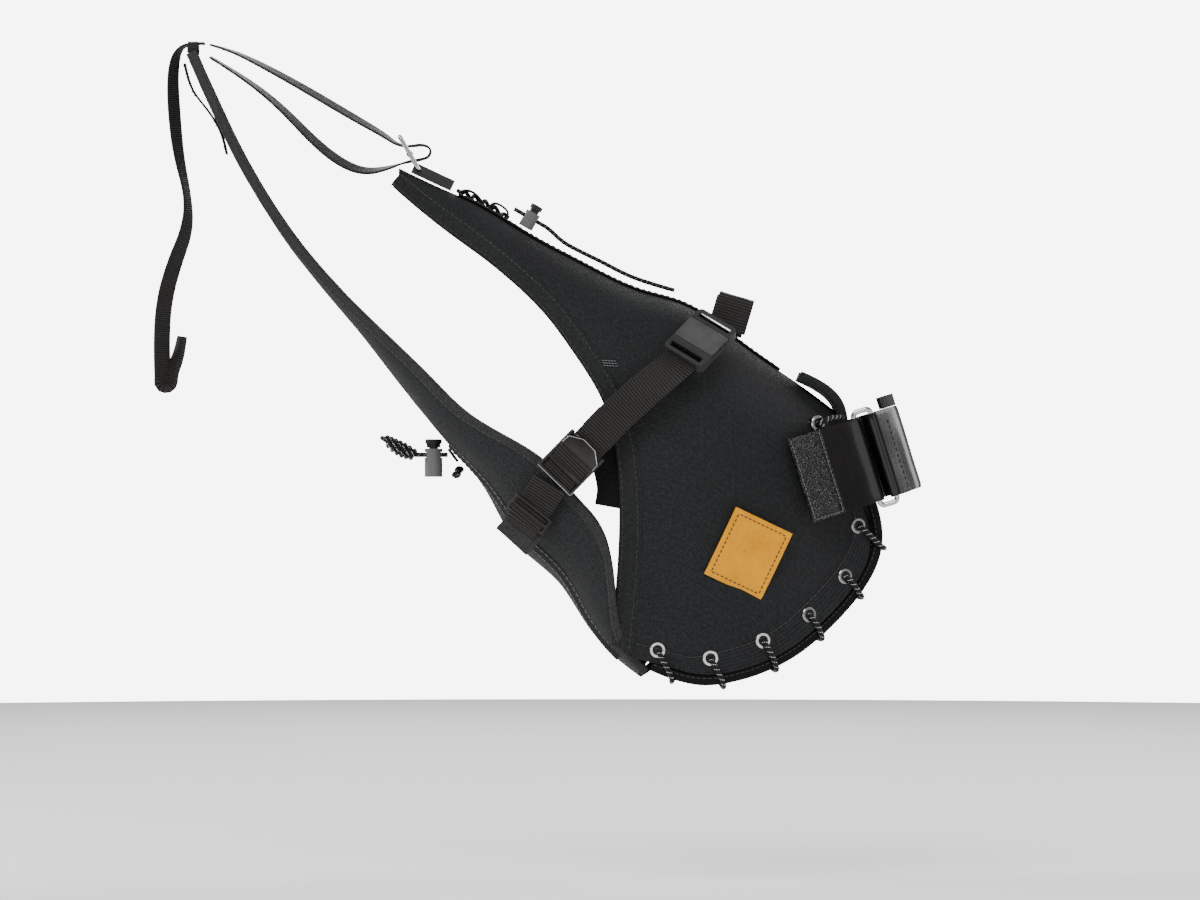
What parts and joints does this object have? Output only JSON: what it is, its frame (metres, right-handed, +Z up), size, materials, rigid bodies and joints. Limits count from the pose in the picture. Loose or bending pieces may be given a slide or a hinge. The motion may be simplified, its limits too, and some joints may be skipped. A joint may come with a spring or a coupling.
{
  "type": "saddle bag",
  "caption": "Empty bikepacking saddle-bag holster: laced fabric shell with long lower panel, seatpost strap, rail straps, cord locks and closure strap.",
  "frame": {"origin": "centre of the seatpost clamp, on the seatpost's axis", "axes": "+X forwards along the bicycle, +Y to its left, +Z up"},
  "size_m": [0.4273, 0.1366, 0.3642],
  "materials": {
    "shell_fabric": "coarse woven nylon, matt",
    "lining_fabric": "smooth coated lining",
    "stiffener_sheet": "moulded sheet",
    "binding": "glossy bound edge",
    "webbing": "ribbed webbing",
    "narrow_webbing": "narrow ribbed webbing",
    "coated_strap": "smooth coated strap, semi-gloss",
    "hook_tape": "hook tape",
    "grip_rubber": "matt grip",
    "nickel": "polished nickel",
    "plate_metal": "satin anodised",
    "magnet": "plated magnet",
    "black_plastic": "moulded acetal, satin",
    "spring_steel": "spring wire",
    "elastic_cord": "braided elastic with light flecks",
    "label_leather": "vegetable-tanned, embossed edge",
    "tab_patch": "sewn patch"
  },
  "bodies": {
    "bag_shell": {"side_panel_right": "shell_fabric", "side_panel_left": "shell_fabric", "side_stiffener_right": "stiffener_sheet", "side_stiffener_left": "stiffener_sheet", "side_lining_right": "lining_fabric", "side_lining_left": "lining_fabric", "eyelets": "nickel", "gusset_strip": "shell_fabric", "gusset_flap": "binding", "rim_piping_right": "binding", "rim_piping_left": "binding", "side_label": "label_leather", "lacing_right": "elastic_cord", "lacing_left": "elastic_cord", "spine_webbing": "webbing", "spine_loop": "webbing", "post_strap": "coated_strap", "post_pad": "grip_rubber", "post_ring": "nickel", "post_strap_base": "coated_strap", "rail_webbing_right": "webbing", "rail_webbing_left": "webbing", "buckle_frame_right": "black_plastic", "buckle_frame_left": "black_plastic", "buckle_magnets": "magnet", "rail_loop_right": "webbing", "rail_loop_left": "webbing", "tongue_keeper": "black_plastic", "closure_strap_runs": "narrow_webbing", "top_bungee": "elastic_cord", "bungee_loop": "webbing"},
    "lower_panel": {"lower_panel_fabric": "shell_fabric", "lower_panel_stiffener": "stiffener_sheet", "lower_panel_lining": "lining_fabric", "light_loops": "webbing", "tail_loop": "webbing", "closure_strap_tail": "narrow_webbing", "closure_strap_end": "narrow_webbing", "lower_bungee": "elastic_cord", "lower_bungee_tab": "tab_patch", "lower_bungee_knot": "elastic_cord", "web_slider_right": "black_plastic", "web_slider_left": "black_plastic", "lower_webbing_right": "webbing", "lower_webbing_left": "webbing", "sewn_anchors": "webbing"},
    "strap_tab": {"strap_tab": "coated_strap", "strap_hook_tape": "hook_tape"},
    "ladder_lock_right": {"ladder_lock_right": "black_plastic"},
    "ladder_lock_left": {"ladder_lock_left": "black_plastic"},
    "release_plate_right": {"release_plate_right": "plate_metal"},
    "release_plate_left": {"release_plate_left": "plate_metal"},
    "tongue_ring": {"tongue_ring": "nickel", "tongue_roller": "black_plastic"},
    "top_lock": {"top_lock_barrel": "black_plastic", "top_lock_spring": "spring_steel"},
    "top_plunger": {"top_lock_plunger": "black_plastic"},
    "lower_lock": {"lower_lock_barrel": "black_plastic", "lower_lock_spring": "spring_steel"},
    "lower_plunger": {"lower_lock_plunger": "black_plastic"}
  },
  "joints": [
    {"name": "lower_panel_hinge", "type": "hinge", "parent": "bag_shell", "child": "lower_panel", "pos_m": [-0.1345, 0, -0.1215], "axis": [0, -1, 0], "range_deg": [0, 8]},
    {"name": "strap_tab_peel", "type": "hinge", "parent": "bag_shell", "child": "strap_tab", "pos_m": [-0.01041, -0.0255, -0.00324], "axis": [-0.2974, 0, 0.9548], "range_deg": [0, 90]},
    {"name": "ladder_lock_right_tilt", "type": "hinge", "parent": "lower_panel", "child": "ladder_lock_right", "pos_m": [-0.18255, -0.0635, -0.01271], "axis": [-0.7141, 0, 0.7001], "range_deg": [0, 28]},
    {"name": "ladder_lock_left_tilt", "type": "hinge", "parent": "lower_panel", "child": "ladder_lock_left", "pos_m": [-0.18255, 0.0635, -0.01271], "axis": [0.7141, 0, -0.7001], "range_deg": [0, 28]},
    {"name": "release_plate_right_slide", "type": "slide", "parent": "bag_shell", "child": "release_plate_right", "axis": [0.7861, -0.3816, -0.4863], "range_m": [0, 0.005]},
    {"name": "release_plate_left_slide", "type": "slide", "parent": "bag_shell", "child": "release_plate_left", "axis": [0.7861, 0.3816, -0.4863], "range_m": [0, 0.005]},
    {"name": "tongue_ring_swing", "type": "hinge", "parent": "bag_shell", "child": "tongue_ring", "pos_m": [-0.2602, 0, 0.1591], "axis": [0, 1, 0], "range_deg": [-3, 8]},
    {"name": "top_lock_slide", "type": "slide", "parent": "bag_shell", "child": "top_lock", "axis": [0.8682, 0, -0.4961], "range_m": [-0.004, 0.004]},
    {"name": "top_plunger_press", "type": "slide", "parent": "top_lock", "child": "top_plunger", "axis": [-0.4961, 0, -0.8682], "range_m": [0, 0.0018], "stiffness_N_per_m": 300},
    {"name": "lower_lock_slide", "type": "slide", "parent": "lower_panel", "child": "lower_lock", "axis": [-1, 0, 0], "range_m": [0, 0.004]},
    {"name": "lower_plunger_press", "type": "slide", "parent": "lower_lock", "child": "lower_plunger", "axis": [0, 0, -1], "range_m": [0, 0.0025], "stiffness_N_per_m": 300}
  ]
}
